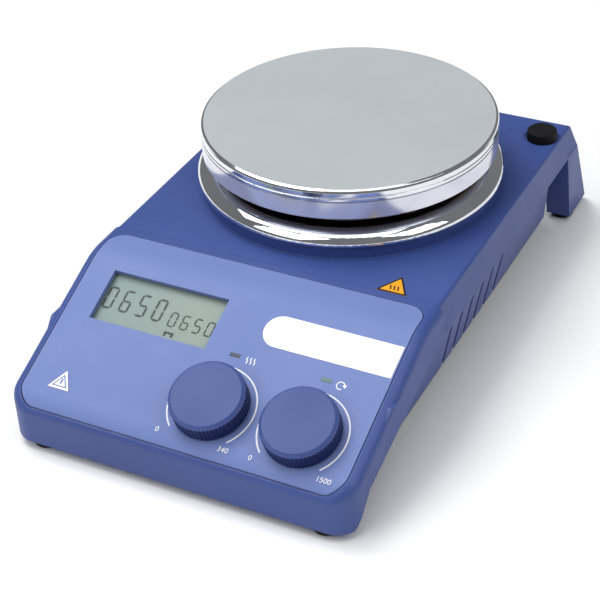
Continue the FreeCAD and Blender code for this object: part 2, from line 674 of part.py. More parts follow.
# ---- drive ---------------------------------------------------------------
def motor():
    can = cyl(MOTOR_R, 0, PLATE_Y, MOTOR_BOTTOM, MOTOR_TOP)
    seat_low, seat_high = MOTOR_BOTTOM + 1.0, MOTOR_TOP - 1.0 - BEARING_H
    tools = [cyl(MOTOR_R - 2, 0, PLATE_Y, MOTOR_BOTTOM + 4.0, MOTOR_TOP - 4.0),
             cyl(BEARING_R, 0, PLATE_Y, seat_low, MOTOR_BOTTOM + 4.5),
             cyl(BEARING_R, 0, PLATE_Y, MOTOR_TOP - 4.5, seat_high + BEARING_H),
             cyl(SHAFT_R + 1.5, 0, PLATE_Y, MOTOR_TOP - 4.5, MOTOR_TOP + 1)]
    tools += [cyl(1.25, x, y, MOTOR_TOP - 3.5, MOTOR_TOP + 1) for x, y in motor_screw_places()]
    bearings = [ring(SHAFT_R + FIT, BEARING_R, 0, PLATE_Y, z, z + BEARING_H)
                for z in (seat_low, seat_high)]
    core = ring(14.0, MOTOR_R - 2, 0, PLATE_Y, MOTOR_BOTTOM + 8, MOTOR_TOP - 10)
    slots = [box(13, 19, -1, 1, MOTOR_BOTTOM, MOTOR_TOP) for _ in range(9)]
    for i, slot in enumerate(slots):
        slot.rotate(V(0, 0, 0), V(0, 0, 1), 40 * i)
        slot.translate(V(0, PLATE_Y, 0))
    coils = ring(15.0, MOTOR_R - 4, 0, PLATE_Y, MOTOR_BOTTOM + 5.5, MOTOR_TOP - 7)
    stator = cut(fuse([core, coils]), slots)
    rotor = fuse([cyl(SHAFT_R, 0, PLATE_Y, seat_low + 0.2, BOSS_TOP - 1.0),
                  cyl(13.0, 0, PLATE_Y, MOTOR_BOTTOM + 7, MOTOR_TOP - 9)])
    return cut(can, tools), bearings, stator, rotor


def motor_screw_places():
    return [around(16.0, a) for a in (45, 135, 225, 315)]


def motor_bracket():
    z0, z1 = MOTOR_TOP, MOTOR_TOP + BRACKET_T
    plate = fuse([cyl(48, 0, PLATE_Y, z0, z1)]
                 + [cyl(4.5, x, y, z0, CEILING) for x, y in bracket_places()])
    tools = [cyl(8.5, 0, PLATE_Y, z0 - 1, z1 + 1)]
    tools += [cyl(2.2, x, y, z0 - 1, CEILING + 1) for x, y in bracket_places()]
    tools += [cyl(1.8, x, y, z0 - 1, z1 + 1) for x, y in motor_screw_places()]
    screws = [screw(3.4, 2.0, 1.9, CEILING - z0 + 2.2, V(x, y, z0), V(0, 0, 1))
              for x, y in bracket_places()]
    motor_screws = [screw(2.7, 1.6, 1.2, BRACKET_T + 3.2, V(x, y, z1), V(0, 0, -1))
                    for x, y in motor_screw_places()]
    return cut(plate, tools), screws, motor_screws


def magnet_drive():
    """The holder on the motor shaft and its two bar magnets."""
    low, high = BOSS_TOP - 3.5, BOSS_TOP + 2.0
    holder = fuse([cyl(7.0, 0, PLATE_Y, MOTOR_TOP + 4.5, low + 1), cyl(26.0, 0, PLATE_Y, low, high)])
    magnets = [box(x - 6, x + 6, PLATE_Y - 7, PLATE_Y + 7, high - 3, high + 4)
               for x in (-16.0, 16.0)]
    tools = [cyl(SHAFT_R, 0, PLATE_Y, MOTOR_TOP, BOSS_TOP - 1.0)] + magnets
    return cut(holder, tools), magnets


# ---- electronics and rear ------------------------------------------------
def board_post_places():
    return [(sign * 52.0, y) for sign in (-1, 1) for y in (42.0, 89.5)]


def power_board():
    z0, z1 = POWER_BOARD_Z, POWER_BOARD_Z + BOARD_T
    board = box(-56, 56, 38, 96, z0, z1).cut(cyl(MOTOR_R + 2, 0, PLATE_Y, z0 - 1, z1 + 1))
    board = cut(board, [cyl(1.6, x, y, z0 - 1, z1 + 1) for x, y in board_post_places()]
                + [cyl(COVER_BOSS_R + 0.4, x, y, z0 - 1, z1 + 1) for x, y in cover_screw_places()])
    posts = [ring(1.3, 3.2, x, y, SKIRT_Z, z0) for x, y in board_post_places()]
    screws = [screw(2.7, 1.6, 1.2, BOARD_T + 4.4, V(x, y, z1), V(0, 0, -1))
              for x, y in board_post_places()]
    core = box(-46, -28, 50, 80, z1, z1 + 24)
    winding = box(-50, -24.5, 56, 74, z1 + 4, z1 + 20)
    transformer = fuse([core, winding])
    fins = [box(32 + 4 * i, 33.6 + 4 * i, 50, 80, z1 + 3, z1 + 22) for i in range(6)]
    sink = fuse([box(32, 53.6, 50, 80, z1, z1 + 3)] + fins)
    capacitors = [cyl(5.5, x, 72, z1, z1 + 18) for x in (-13.0, 0.0, 13.0)]
    return board, posts, screws, transformer, sink, capacitors


def rear_plate():
    left, right, low, high = REAR_PLATE
    back = REAR_WALL
    plate = box(left, right, back - REAR_PLATE_T, back, low, high)
    y0, y1 = back - REAR_PLATE_T - 1, back + 1
    tools = [rod_y(1.7, x, z, y0, y1) for x, z in rear_screw_places()]
    tools.append(box(INLET[0] - 13.7, INLET[0] + 13.7, y0, y1, INLET[1] - 13.5, INLET[1] + 13.5))
    tools.append(box(ROCKER[0] - 6.6, ROCKER[0] + 6.6, y0, y1, ROCKER[1] - 9.6, ROCKER[1] + 9.6))
    tools.append(rod_y(6.6, *SENSOR_SOCKET, y0, y1))
    tools.append(box(DATA_PORT[0] - 9.0, DATA_PORT[0] + 9.0, y0, y1, DATA_PORT[1] - 4.6,
                     DATA_PORT[1] + 4.6))
    screws = [screw(2.7, 1.6, 1.2, 6.5, V(x, back, z), V(0, -1, 0)) for x, z in rear_screw_places()]
    return cut(plate, tools), screws


def mains_inlet():
    """A three-pin appliance inlet above a fuse drawer."""
    x, z = INLET
    back = REAR_WALL
    body = fuse([box(x - 13.5, x + 13.5, back - 22, back + 1, z - 13.3, z + 13.3),
                 box(x - 15.2, x + 15.2, back, back + 2.4, z - 15.0, z + 15.0)])
    socket_z = z + 4.0
    corner = 4.0
    outline = [(x - 12, socket_z - 8), (x + 12, socket_z - 8), (x + 12, socket_z + 8 - corner),
               (x + 12 - corner, socket_z + 8), (x - 12 + corner, socket_z + 8),
               (x - 12, socket_z + 8 - corner)]
    body = body.cut(prism_xz(outline, back - 15, back + 3))
    drawer_z = z - 9.2
    body = body.cut(box(x - 11.2, x + 11.2, back - 17, back + 3, drawer_z - 3.2, drawer_z + 3.2))
    blades = [box(x + dx - 1.0, x + dx + 1.0, back - 26, back - 3.5, socket_z + dz - 2,
                  socket_z + dz + 2) for dx, dz in ((-7.0, -1.5), (7.0, -1.5), (0.0, 2.5))]
    drawer = box(x - 11.0, x + 11.0, back - 16.5, back + 2.2, drawer_z - 3.0, drawer_z + 3.0)
    drawer = drawer.cut(box(x - 10, x + 10, back - 15, back - 3, drawer_z - 2.7, drawer_z + 3.1))
    drawer = fuse([drawer, box(x - 8, x + 8, back + 2.2, back + 3.4, drawer_z - 0.8, drawer_z + 0.8)])
    fuses = [Part.makeCylinder(2.5, 19.6, V(x - 9.8, back + dy, drawer_z - 0.2), V(1, 0, 0))
             for dy in (-12.0, -6.0)]
    return body.cut(Part.makeCompound(blades)), blades, drawer, fuses


def power_switch():
    """Switch body with its bezel, and the rocker that tips in it."""
    x, z = ROCKER
    back = REAR_WALL
    pivot_y = back + 0.6
    body = fuse([box(x - 6.4, x + 6.4, back - 18, back + 1, z - 9.4, z + 9.4),
                 box(x - 7.6, x + 7.6, back, back + 1.8, z - 10.8, z + 10.8)])
    body = body.cut(box(x - 5.3, x + 5.3, back - 9, back + 3, z - 8.3, z + 8.3))
    body = body.cut(Part.makeCylinder(1.2 + FIT, 12.0, V(x - 6.0, pivot_y, z), V(1, 0, 0)))
    profile = [(pivot_y - 4.5, z - 4.0), (pivot_y + 2.6, z - 7.6), (pivot_y + 1.9, z),
               (pivot_y + 2.6, z + 7.6), (pivot_y - 4.5, z + 4.0)]
    pin = Part.makeCylinder(1.2, 11.8, V(x - 5.9, pivot_y, z), V(1, 0, 0))
    rocker = fuse([prism_yz(profile, x - 5.0, x + 5.0), pin])
    rocker.rotate(V(x, pivot_y, z), V(1, 0, 0), -ROCKER_TIP / 2)
    return body, rocker


def rear_sockets():
    x, z = SENSOR_SOCKET
    back = REAR_WALL
    sensor = fuse([rod_y(6.4, x, z, back - 12, back + 1), rod_y(8.6, x, z, back, back + 1.6)])
    sensor = sensor.cut(rod_y(5.2, x, z, back - 8, back + 2))
    pins = [rod_y(0.7, *around(3.0, a, x, z), back - 9, back - 3.5) for a in (30, 150, 270)]
    sensor = fuse([sensor] + pins)
    x, z = DATA_PORT
    port = fuse([box(x - 15.4, x + 15.4, back, back + 1.0, z - 6.2, z + 6.2),
                 box(x - 8.8, x + 8.8, back - 8, back + 5.6, z - 4.4, z + 4.4)])
    port = port.cut(box(x - 8.1, x + 8.1, back - 1, back + 6, z - 3.7, z + 3.7))
    contacts = [rod_y(0.5, x + 2.7 * (i - 2), z + 1.3, back - 2, back + 1.2) for i in range(5)]
    contacts += [rod_y(0.5, x + 2.7 * (i - 1.5), z - 1.3, back - 2, back + 1.2) for i in range(4)]
    return sensor, fuse([port] + contacts)


# ---- rod hole and feet ---------------------------------------------------
def rod_hole_parts():
    insert = ring(THREAD_R, INSERT_R - 0.05, *ROD_HOLE, DECK_Z - INSERT_DEPTH, DECK_Z - 0.6)
    low = DECK_Z - 0.6
    plug = turned([(0, low - 9.0), (3.2, low - 9.0), (THREAD_R - 0.1, low - 7.5),
                   (THREAD_R - 0.1, low), (PLUG_R - 0.2, low), (PLUG_R, low + 0.8),
                   (PLUG_R - 0.3, low + PLUG_RISE), (PLUG_R - 1.3, low + PLUG_RISE + 0.7),
                   (0, low + PLUG_RISE + 0.7)], *ROD_HOLE)
    return insert, plug


def foot(x, y, height):
    pad = turned([(1.6, 0.3), (3.4, 0), (FOOT_R - 0.8, 0), (FOOT_R, 0.8), (FOOT_R, height),
                  (1.6, height)], x, y)
    return pad.cut(cyl(3.2, x, y, -1, height - 1.2))


def foot_screw(x, y, height):
    return screw(2.6, 0.9, 1.2, 1.2 + FOOT_SCREW, V(x, y, height - 1.2), V(0, 0, 1))


def main():
    os.makedirs("parts", exist_ok=True)
    rail = rail_block()
    write("housing", housing(rail))
    write("bottom_cover", bottom_cover())
    write("cover_screws", [screw(2.9, 1.7, 1.3, COVER_T + COVER_BOSS_H - 1.5,
                                 V(x, y, SKIRT_Z - COVER_T), V(0, 0, 1))
                           for x, y in cover_screw_places()])
    write("control_panel", control_panel(rail))
    for name, x in zip(("heat", "stir"), KNOB_XS):
        write(name + "_knob", knob(x))
        write(name + "_shaft", control_shaft(x))
        write(name + "_control", rotary_control(x))
    board, posts = display_board()
    write("display_board", board)
    write("display_board_posts", posts)
    lens, module = display_parts()
    write("display_window", lens)
    write("display_module", module)
    pipes, lamps = light_pipes()
    write("light_pipes", pipes)
    write("indicator_leds", lamps)
    strip, small, large = labels()
    write("blank_label", strip)
    write("caution_label", small)
    write("hot_surface_label", large)
    write("plate_cap", plate_cap())
    write("heater_plate", heater_plate())
    element, insulation, shield = plate_stack()
    write("heating_element", element)
    write("insulation_disc", insulation)
    write("bottom_shield", shield)
    sensor_x, sensor_y = sensor_place()
    write("plate_sensor", fuse([cyl(2.0, sensor_x, sensor_y, 67.5, PLATE_BOTTOM + 7.5),
                                cyl(3.4, sensor_x, sensor_y, 66.5, PLATE_BOTTOM + 0.2)]))
    write("overheat_cutout", cyl(7.0, *around(45.0, 150), 64.0, PLATE_BOTTOM + 0.2))
    write("heat_shield_pan", pan())
    write("pan_gasket", ring(DRIVE_HOLE_R + GASKET_GAP, PILLAR_RING - PILLAR_R - GASKET_PILLAR_GAP, 0,
                             PLATE_Y, BOSS_TOP, PAN_FLOOR + 0.2 - PAN_T))
    plate_pillars, pillar_screws = pillars()
    write("plate_pillars", plate_pillars)
    write("pillar_screws", pillar_screws)
    can, bearings, stator, rotor = motor()
    write("motor_can", can)
    write("motor_bearings", bearings)
    write("motor_stator", stator)
    write("motor_rotor", rotor)
    bracket, bracket_screws, motor_screws = motor_bracket()
    write("motor_bracket", bracket)
    write("bracket_screws", bracket_screws)
    write("motor_screws", motor_screws)
    holder, magnets = magnet_drive()
    write("magnet_holder", holder)
    write("drive_magnets", magnets)
    board, posts, screws, transformer, sink, capacitors = power_board()
    write("power_board", board)
    write("board_posts", posts)
    write("board_screws", screws)
    write("transformer", transformer)
    write("heat_sink", sink)
    write("capacitors", capacitors)
    plate, screws = rear_plate()
    write("rear_plate", plate)
    write("rear_plate_screws", screws)
    inlet, blades, drawer, fuses = mains_inlet()
    write("mains_inlet", inlet)
    write("inlet_blades", blades)
    write("fuse_drawer", drawer)
    write("fuses", fuses)
    switch, rocker = power_switch()
    write("power_switch", switch)
    write("power_rocker", rocker)
    sensor, port = rear_sockets()
    write("sensor_socket", sensor)
    write("data_port", port)
    insert, plug = rod_hole_parts()
    write("rod_insert", insert)
    write("rod_hole_plug", plug)
    write("front_feet", [foot(x, y, z) for x, y, z in foot_places()[:2]])
    write("rear_feet", [foot(x, y, z) for x, y, z in foot_places()[2:]])
    write("foot_screws", [foot_screw(x, y, z) for x, y, z in foot_places()])


main()
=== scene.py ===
import json
import math

import bmesh
import bpy
from mathutils import Matrix, Vector


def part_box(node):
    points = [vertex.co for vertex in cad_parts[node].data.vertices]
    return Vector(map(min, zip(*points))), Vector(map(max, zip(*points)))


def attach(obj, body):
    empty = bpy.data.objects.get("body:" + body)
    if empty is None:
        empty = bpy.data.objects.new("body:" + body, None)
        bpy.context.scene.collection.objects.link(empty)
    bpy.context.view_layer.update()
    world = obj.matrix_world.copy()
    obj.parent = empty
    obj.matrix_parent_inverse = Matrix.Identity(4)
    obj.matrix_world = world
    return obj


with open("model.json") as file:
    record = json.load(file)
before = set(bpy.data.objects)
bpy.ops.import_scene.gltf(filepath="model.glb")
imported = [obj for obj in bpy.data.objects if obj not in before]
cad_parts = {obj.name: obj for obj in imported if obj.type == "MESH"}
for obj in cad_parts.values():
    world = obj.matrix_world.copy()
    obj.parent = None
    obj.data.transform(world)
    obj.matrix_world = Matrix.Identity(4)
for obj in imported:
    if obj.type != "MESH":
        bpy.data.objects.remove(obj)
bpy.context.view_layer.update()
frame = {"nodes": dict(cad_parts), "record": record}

MM = 0.001
ROOT = "stirrer"
nodes = frame["nodes"]
record = frame["record"]
joints = {j["name"]: j for j in record["behaviour"]["joints"]}


# ---- the control panel's own frame ---------------------------------------
# x to the right, s down the panel from its bend, h outward from its face, all in mm
KNOB_DOWN = 57.0
PANEL_OUT = Vector(joints["heat_knob_turn"]["axis"])
PANEL_DOWN = Vector((0, -PANEL_OUT.z, PANEL_OUT.y))
HEAT_CENTRE = Vector(joints["heat_knob_turn"]["pos_m"])
STIR_CENTRE = Vector(joints["stir_knob_turn"]["pos_m"])
BEND = Vector((0, HEAT_CENTRE.y, HEAT_CENTRE.z)) - PANEL_DOWN * KNOB_DOWN * MM


def panel(x, s, h=0.0):
    return BEND + Vector((x, 0, 0)) * MM + PANEL_DOWN * s * MM + PANEL_OUT * h * MM


def flat(x0, y0, z0):
    """A level frame with its zero at a point, s to the front."""
    return lambda x, s, h=0.0: Vector((x0, y0, z0)) + Vector((x, -s, h)) * MM


# ---- procedural materials -------------------------------------------------
def srgb(r, g, b):
    """A screen colour, 0 to 255, as the linear colour that shader sockets take."""
    return tuple(c / 255 / 12.92 if c <= 10 else ((c / 255 + 0.055) / 1.055) ** 2.4
                 for c in (r, g, b)) + (1.0,)


def scaled(colour, k):
    return tuple(min(1.0, c * k) for c in colour[:3]) + (1.0,)


class Nodes:
    """A material's node tree with short calls for what every finish here needs."""

    def __init__(self, name):
        self.material = bpy.data.materials.new(name)
        self.material.use_nodes = True
        self.tree = self.material.node_tree
        self.shader = self.tree.nodes["Principled BSDF"]
        self.place = self.add("ShaderNodeTexCoord").outputs["Object"]

    def add(self, kind, **settings):
        node = self.tree.nodes.new(kind)
        for key, value in settings.items():
            setattr(node, key, value)
        return node

    def link(self, out, into):
        self.tree.links.new(out, into)

    def put(self, socket, value):
        """Sets a socket of the shader, from a value or from another node's output."""
        if isinstance(value, bpy.types.NodeSocket):
            self.link(value, self.shader.inputs[socket])
        else:
            self.shader.inputs[socket].default_value = value

    def noise(self, scale, detail=3.0, rough=0.55, stretch=None):
        node = self.add("ShaderNodeTexNoise")
        node.inputs["Scale"].default_value = scale
        node.inputs["Detail"].default_value = detail
        node.inputs["Roughness"].default_value = rough
        place = self.place
        if stretch:
            mapping = self.add("ShaderNodeMapping")
            mapping.inputs["Scale"].default_value = stretch
            self.link(self.place, mapping.inputs["Vector"])
            place = mapping.outputs["Vector"]
        self.link(place, node.inputs["Vector"])
        return node.outputs["Fac"]

    def cells(self, scale):
        node = self.add("ShaderNodeTexVoronoi")
        node.inputs["Scale"].default_value = scale
        self.link(self.place, node.inputs["Vector"])
        return node.outputs["Distance"]

    def span(self, value, low, high, to_low=0.0, to_high=1.0, smooth=False):
        node = self.add("ShaderNodeMapRange")
        if smooth:
            node.interpolation_type = "SMOOTHSTEP"
        self.link(value, node.inputs["Value"])
        limits = {"From Min": low, "From Max": high, "To Min": to_low, "To Max": to_high}
        for socket, limit in limits.items():
            node.inputs[socket].default_value = limit
        return node.outputs["Result"]

    def math(self, operation, a, b=None):
        node = self.add("ShaderNodeMath", operation=operation)
        for socket, value in zip(node.inputs, (a, b)):
            if isinstance(value, bpy.types.NodeSocket):
                self.link(value, socket)
            elif value is not None:
                socket.default_value = value
        return node.outputs["Value"]

    def mix(self, fac, a, b):
        node = self.add("ShaderNodeMix", data_type="RGBA")
        self.link(fac, node.inputs["Factor"])
        for socket, value in (("A", a), ("B", b)):
            target = [i for i in node.inputs if i.name == socket and i.type == "RGBA"][0]
            if isinstance(value, bpy.types.NodeSocket):
                self.link(value, target)
            else:
                target.default_value = value
        return [o for o in node.outputs if o.type == "RGBA"][0]

    def axis(self, name):
        node = self.add("ShaderNodeSeparateXYZ")
        self.link(self.place, node.inputs["Vector"])
        return node.outputs[name]

    def facing(self, name):
        """How far the surface faces along X, Y or Z."""
        geometry = self.add("ShaderNodeNewGeometry")
        split = self.add("ShaderNodeSeparateXYZ")
        self.link(geometry.outputs["Normal"], split.inputs["Vector"])
        return split.outputs[name]

    def radius(self, x, y):
        """Distance from the upright line through x, y."""
        dx = self.math("SUBTRACT", self.axis("X"), x)
        dy = self.math("SUBTRACT", self.axis("Y"), y)
        squares = [self.math("MULTIPLY", d, d) for d in (dx, dy)]
        return self.math("SQRT", self.math("ADD", *squares))

    def edge(self, width, low=0.02, high=0.35):
        """Near 1 on sharp edges, 0 on open faces."""
        bevel = self.add("ShaderNodeBevel", samples=6)
        bevel.inputs["Radius"].default_value = width
        geometry = self.add("ShaderNodeNewGeometry")
        dot = self.add("ShaderNodeVectorMath", operation="DOT_PRODUCT")
        self.link(bevel.outputs["Normal"], dot.inputs[0])
        self.link(geometry.outputs["Normal"], dot.inputs[1])
        return self.span(self.math("SUBTRACT", 1.0, dot.outputs["Value"]), low, high)

    def bump(self, height, strength, distance, soften=None):
        node = self.add("ShaderNodeBump")
        node.inputs["Strength"].default_value = strength
        node.inputs["Distance"].default_value = distance
        self.link(height, node.inputs["Height"])
        if soften:
            bevel = self.add("ShaderNodeBevel", samples=6)
            bevel.inputs["Radius"].default_value = soften
            self.link(bevel.outputs["Normal"], node.inputs["Normal"])
        self.put("Normal", node.outputs["Normal"])


def painted(name, colour, worn, grain, height, rough, soften=None, mottle=0.08, patch=9.0, wear=0.35):
    """Sprayed or moulded colour: a fine grain, slow colour drift, and edges rubbed a little paler."""
    m = Nodes(name)
    drift = m.mix(m.span(m.noise(patch), 0.3, 0.7), scaled(colour, 1 - mottle), scaled(colour, 1 + mottle))
    speck = m.mix(m.span(m.noise(grain * 0.7, 2.0), 0.62, 0.78, 0.0, 0.5), drift, scaled(colour, 0.72))
    rubbed = m.math("MULTIPLY", m.edge(0.0008), m.span(m.noise(160.0), 0.4, 0.65, 0.0, wear))
    m.put("Base Color", m.mix(rubbed, speck, worn))
    m.put("Roughness", m.span(m.noise(35.0), 0.3, 0.7, rough - 0.05, rough + 0.07))
    m.bump(m.noise(grain, 2.0), 0.35, height, soften)
    return m


def metal(name, colour, rough, grain=(400.0, 400.0, 400.0), height=2e-6, stain=None):
    """Bare metal: fine drawn or turned lines, faint stains and a roughness that wanders."""
    m = Nodes(name)
    m.put("Metallic", 1.0)
    lines = m.noise(1.0, 3.0, 0.6, stretch=grain)
    tone = m.mix(m.span(lines, 0.3, 0.7), scaled(colour, 0.93), scaled(colour, 1.05))
    stained = m.span(m.noise(45.0, 4.0), 0.55, 0.8, 0.0, 0.4)
    m.put("Base Color", m.mix(stained, tone, stain or scaled(colour, 0.7)))
    m.put("Roughness", m.span(m.noise(60.0, 4.0), 0.3, 0.7, rough * 0.75, rough * 1.3))
    m.bump(lines, 0.3, height)
    return m


def moulded(name, colour, rough, grain=900.0, height=0.00008, pale=1.5, shine=0.5):
    """Moulded plastic or rubber: a fine matt skin, a little dust and paler edges."""
    m = Nodes(name)
    dust = m.mix(m.span(m.noise(70.0, 5.0), 0.45, 0.8, 0.0, 0.35), colour, scaled(colour, pale))
    m.put("Base Color", m.mix(m.math("MULTIPLY", m.edge(0.0006), 0.35), dust, scaled(colour, pale * 1.4)))
    m.put("Roughness", m.span(m.noise(120.0), 0.3, 0.7, rough - 0.07, rough + 0.08))
    m.put("Specular IOR Level", shine)
    m.bump(m.noise(grain, 2.0), 0.4, height)
    return m


BLUE = srgb(56, 77, 141)
PANEL_BLUE = srgb(108, 126, 182)
KNOB_BLUE = srgb(68, 84, 142)
# painted shade: the dark colour given to the knobs' knurled sides
KNOB_SIDE_SHADE = srgb(16, 32, 82)


def housing_paint():
    """The housing's blue coat with a fine texture."""
    m = painted("housing_paint", BLUE, srgb(120, 134, 178), 1500.0, 0.00006, 0.46, soften=0.0006)
    m.put("Specular IOR Level", 0.45)
    return m.material


def panel_film():
    """The smooth, paler film of the control panel."""
    m = painted("panel_blue", PANEL_BLUE, srgb(170, 182, 220), 2600.0, 0.00002, 0.52, mottle=0.03, wear=0.2)
    m.put("Specular IOR Level", 0.3)
    return m.material


def knob_plastic():
    """Blue knobs with painted shade: their knurled sides are coloured darker than their flat faces."""
    m = painted("knob_blue", KNOB_BLUE, srgb(128, 142, 184), 2200.0, 0.00003, 0.4, soften=0.0005,
                mottle=0.04, patch=20.0, wear=0.5)
    geometry = m.add("ShaderNodeNewGeometry")
    outward = m.add("ShaderNodeVectorMath", operation="DOT_PRODUCT")
    m.link(geometry.outputs["Normal"], outward.inputs[0])
    outward.inputs[1].default_value = PANEL_OUT
    # painted shade: surfaces turned away from the panel's outward direction blend to the dark side colour
    face = m.span(outward.outputs["Value"], 0.15, 0.6, smooth=True)
    colour = m.shader.inputs["Base Color"].links[0].from_socket
    m.put("Base Color", m.mix(face, KNOB_SIDE_SHADE, colour))
    m.put("Specular IOR Level", 0.2)
    return m.material


def window_pane():
    """Clear plastic with a faint tint and fine scratches in its roughness."""
    m = Nodes("window")
    m.put("Base Color", m.mix(m.span(m.noise(60.0), 0.3, 0.7), (0.62, 0.70, 0.62, 1), (0.68, 0.76, 0.68, 1)))
    m.put("Roughness", m.span(m.noise(250.0, 4.0), 0.4, 0.8, 0.08, 0.2))
    m.put("Alpha", 0.07)
    m.bump(m.noise(40.0), 0.05, 0.0001)
    return m.material


def display_glass():
    """Grey-green display glass, cooler on its left and warmer on its right."""
    m = Nodes("display_grey")
    warm, cool = srgb(132, 148, 138), srgb(118, 140, 140)
    low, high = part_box("display_module")
    shade = m.mix(m.span(m.axis("X"), low.x, high.x), cool, warm)
    m.put("Base Color", m.mix(m.span(m.noise(500.0, 2.0), 0.35, 0.65, 0.0, 0.25), shade, scaled(warm, 0.9)))
    m.put("Roughness", m.span(m.noise(90.0), 0.3, 0.7, 0.5, 0.62))
    m.bump(m.noise(3000.0, 1.0), 0.15, 0.00001)
    return m.material


def label(name, colour, soil):
    """A smooth sticker, slightly soiled in patches."""
    m = Nodes(name)
    m.put("Base Color", m.mix(m.span(m.noise(55.0, 5.0), 0.5, 0.85, 0.0, 0.5), colour, soil))
    m.put("Roughness", m.span(m.noise(140.0), 0.3, 0.7, 0.3, 0.45))
    m.bump(m.noise(700.0, 2.0), 0.12, 0.00002)
    return m.material


BETWEEN_LAMPS = 0.029   # x between the two lamps, m


def lamp_lens():
    """Unlit lamps: the left one dark, the right one pale green."""
    m = Nodes("lamp")
    left, right = srgb(66, 74, 96), srgb(92, 128, 128)
    side = m.span(m.axis("X"), BETWEEN_LAMPS - 0.001, BETWEEN_LAMPS + 0.001)
    m.put("Base Color", m.mix(side, left, right))
    m.put("Roughness", m.span(m.noise(300.0), 0.3, 0.7, 0.25, 0.4))
    m.put("Specular IOR Level", 0.2)
    m.bump(m.noise(1400.0, 2.0), 0.2, 0.00003)
    return m.material


def plate_coat():
    """The cap of the hot plate: a pale satin coat on its top, bare polished metal round its edge."""
    m = Nodes("plate_top")
    top = m.span(m.facing("Z"), 0.93, 0.985, smooth=True)
    low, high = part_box("plate_cap")
    middle = (low + high) / 2
    rings = m.add("ShaderNodeTexWave", wave_type="RINGS", rings_direction="Z")
    rings.inputs["Scale"].default_value = 260.0
    rings.inputs["Distortion"].default_value = 1.5
    mapping = m.add("ShaderNodeMapping")
    mapping.inputs["Location"].default_value = (-middle.x, -middle.y, 0)
    m.link(m.place, mapping.inputs["Vector"])
    m.link(mapping.outputs["Vector"], rings.inputs["Vector"])
    coat = m.mix(m.span(m.noise(14.0, 4.0), 0.3, 0.75), srgb(166, 171, 174), srgb(173, 178, 181))
    coat = m.mix(m.span(m.noise(380.0, 3.0), 0.6, 0.75, 0.0, 0.3), coat, srgb(152, 157, 160))
    coat = m.mix(m.span(rings.outputs["Fac"], 0.0, 1.0, 0.0, 0.10), coat, srgb(190, 194, 196))
    m.put("Base Color", m.mix(top, srgb(226, 229, 233), coat))
    m.put("Metallic", m.span(top, 0.0, 1.0, 1.0, 0.0))
    uneven = m.span(m.noise(50.0), 0.3, 0.7, 0.0, 0.08)
    m.put("Roughness", m.math("ADD", m.span(top, 0.0, 1.0, 0.05, 0.42), uneven))
    m.bump(m.math("MULTIPLY", m.noise(900.0, 3.0), top), 0.22, 0.00004, soften=0.0003)
    return m.material


# the pan's heat tints, in metres in from its edge: where each starts and is full
STRAW_STARTS, STRAW_FULL = 0.0062, 0.0098
BROWN_STARTS, BROWN_FULL = 0.0102, 0.0130


def chrome():
    """The satin side of the hot plate, and the polished pan with its heat-tinted inner rim."""
    m = Nodes("chrome")
    low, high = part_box("heat_shield_pan")
    middle, pan_r = (low + high) / 2, (high.x - low.x) / 2
    clean = m.mix(m.span(m.noise(30.0, 4.0), 0.35, 0.75), srgb(232, 234, 238), srgb(214, 217, 222))
    away = m.radius(middle.x, middle.y)
    wander = m.math("MULTIPLY", m.span(m.noise(22.0, 3.0), 0.3, 0.7, -1.0, 1.0), 0.0006)
    away = m.math("ADD", away, wander)
    plate = m.span(m.axis("Z"), high.z + 0.002, high.z + 0.003)
    below_plate = m.math("SUBTRACT", 1.0, plate)
    straw, brown = [m.math("MULTIPLY", m.span(away, pan_r - starts, pan_r - full, smooth=True), below_plate)
                    for starts, full in ((STRAW_STARTS, STRAW_FULL), (BROWN_STARTS, BROWN_FULL))]
    tinted = m.mix(brown, m.mix(straw, clean, srgb(176, 142, 104)), srgb(74, 54, 46))
    satin = m.mix(m.span(m.noise(60.0, 3.0), 0.3, 0.7), srgb(226, 227, 236), srgb(208, 210, 222))
    m.put("Base Color", m.mix(plate, tinted, satin))
    m.put("Metallic", m.span(plate, 0.0, 1.0, 1.0, 0.62))
    uneven = m.span(m.noise(80.0, 5.0), 0.4, 0.8, 0.025, 0.075)
    rough = m.math("ADD", m.math("MULTIPLY", brown, 0.25), uneven)
    m.put("Roughness", m.math("ADD", rough, m.math("MULTIPLY", plate, 0.1)))
    m.bump(m.noise(9.0, 2.0), 0.12, 0.0006)
    return m.material


def glass():
    """The tubes of the fuses."""
    m = Nodes("fuse_glass")
    m.put("Base Color", m.mix(m.noise(300.0), (0.82, 0.86, 0.86, 1), (0.9, 0.92, 0.92, 1)))
    m.put("Roughness", m.span(m.noise(200.0), 0.3, 0.7, 0.03, 0.1))
    m.put("Alpha", 0.5)
    return m.material


def circuit_board():
    """Green lacquer with slightly raised tracks."""
    m = Nodes("board")
    tracks = m.span(m.cells(260.0), 0.35, 0.42)
    m.put("Base Color", m.mix(tracks, srgb(24, 92, 52), srgb(40, 122, 70)))
    m.put("Roughness", m.span(m.noise(90.0), 0.3, 0.7, 0.32, 0.45))
    m.bump(tracks, 0.3, 0.00003)
    return m.material


def fibre(name, colour, streak):
    """Pressed fibre with coarse strands."""
    m = Nodes(name)
    strands = m.noise(1.0, 4.0, 0.7, stretch=(1200.0, 300.0, 900.0))
    m.put("Base Color", m.mix(m.span(strands, 0.35, 0.7), colour, streak))
    m.put("Roughness", m.span(strands, 0.3, 0.7, 0.8, 0.95))
    m.bump(strands, 0.7, 0.0002)
    return m.material


